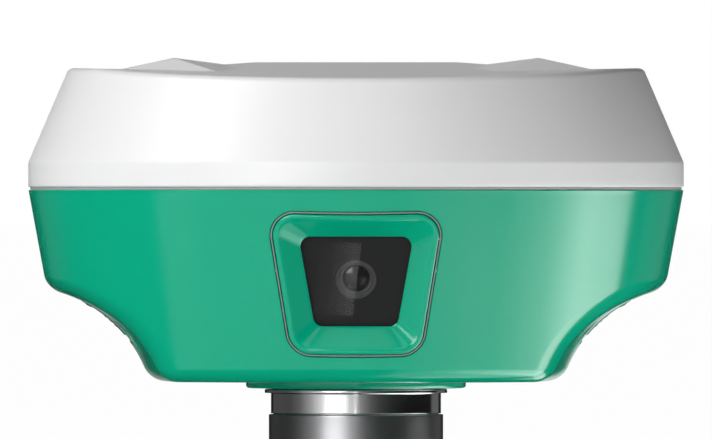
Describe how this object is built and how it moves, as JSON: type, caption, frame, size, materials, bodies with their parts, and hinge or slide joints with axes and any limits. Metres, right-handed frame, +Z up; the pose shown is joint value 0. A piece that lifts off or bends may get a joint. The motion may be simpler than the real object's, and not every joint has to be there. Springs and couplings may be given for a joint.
{
  "type": "gnss receiver",
  "caption": "Round survey receiver with a domed cover, side scoops with port flaps, a front camera and a short quick-release pole adapter.",
  "frame": {"origin": "centre of the pole adapter's bottom face", "axes": "+Z up along the pole, -Y towards the front, where the camera looks, +X to the camera side's right"},
  "size_m": [0.158, 0.158, 0.1194],
  "materials": {
    "white_plastic": "fine satin white plastic, transparent to radio",
    "green_paint": "satin green paint on a die-cast magnesium shell",
    "dark_rubber": "matt dark grey silicone rubber",
    "flap_rubber": "matt moulded rubber over a stiff core",
    "button_rubber": "matt orange silicone rubber",
    "black_plastic": "matt black moulded plastic",
    "panel_plastic": "glossy black panel",
    "clear_plastic": "milky clear light pipes",
    "window_glass": "dark tinted flat glass",
    "lens_glass": "coated optical glass",
    "black_metal": "black anodised metal",
    "polished_steel": "polished turned steel",
    "sleeve_steel": "satin turned steel",
    "screw_steel": "plain stainless steel",
    "insert_brass": "turned brass",
    "cast_alloy": "cast and machined light alloy",
    "shield_steel": "tinned sheet steel",
    "patch_ceramic": "unglazed antenna ceramic",
    "board": "green circuit board",
    "ribbon_film": "amber film ribbon",
    "cell_wrap": "blue shrink wrap on a battery cell"
  },
  "bodies": {
    "housing": {"top_cover": "white_plastic", "seam_gasket": "dark_rubber", "lower_shell": "green_paint", "housing_screws": "screw_steel", "mount_disc": "green_paint", "mount_insert": "insert_brass", "disc_screws": "screw_steel", "camera_hood": "green_paint", "hood_gasket": "dark_rubber", "hood_screws": "screw_steel", "camera_window": "window_glass", "camera_mask": "black_plastic", "lens_barrel": "black_metal", "front_lens": "lens_glass", "rear_lens": "lens_glass", "camera_board": "board", "camera_ribbon": "ribbon_film", "control_panel": "panel_plastic", "panel_seal": "dark_rubber", "button_switch": "board", "light_pipes": "clear_plastic", "left_flap_pin": "screw_steel", "right_flap_pin": "screw_steel", "usb_socket": "screw_steel", "data_socket": "black_metal", "card_socket": "black_plastic", "radio_socket": "insert_brass", "speaker": "black_plastic", "vent_plug": "black_plastic", "chassis": "cast_alloy", "chassis_screws": "screw_steel", "battery_cells": "cell_wrap", "battery_cradle": "black_plastic", "main_board": "board", "board_screws": "screw_steel", "receiver_module": "shield_steel", "radio_module": "shield_steel", "mobile_module": "shield_steel", "tilt_sensor": "black_plastic", "antenna_base": "cast_alloy", "antenna_screws": "screw_steel", "amplifier_board": "board", "amplifier_can": "shield_steel", "lower_patch": "patch_ceramic", "upper_patch": "patch_ceramic", "patch_screw": "insert_brass", "antenna_lead": "dark_rubber", "mobile_antennas": "board", "adapter_head": "polished_steel", "adapter_stud": "polished_steel", "adapter_washer": "dark_rubber", "adapter_sleeve": "sleeve_steel", "sleeve_base": "sleeve_steel", "latch_spring": "screw_steel"},
    "power_key": {"power_button": "button_rubber"},
    "latch": {"latch_button": "black_metal"},
    "left_cover": {"left_flap": "flap_rubber"},
    "right_cover": {"right_flap": "flap_rubber"}
  },
  "joints": [
    {"name": "power_press", "type": "slide", "parent": "housing", "child": "power_key", "axis": [0, -0.9835, 0.181], "range_m": [0, 0.0006], "stiffness_N_per_m": 800, "springref_m": -0.0004},
    {"name": "latch_press", "type": "slide", "parent": "housing", "child": "latch", "axis": [0, -1, 0], "range_m": [0, 0.0022], "stiffness_N_per_m": 1200, "springref_m": -0.001, "deforming": ["latch_spring"]},
    {"name": "left_flap_open", "type": "hinge", "parent": "housing", "child": "left_cover", "pos_m": [-0.0532, 0, 0.05214], "axis": [0, -1, 0], "range_deg": [0, 74]},
    {"name": "right_flap_open", "type": "hinge", "parent": "housing", "child": "right_cover", "pos_m": [0.0532, 0, 0.05214], "axis": [0, 1, 0], "range_deg": [0, 74]}
  ]
}
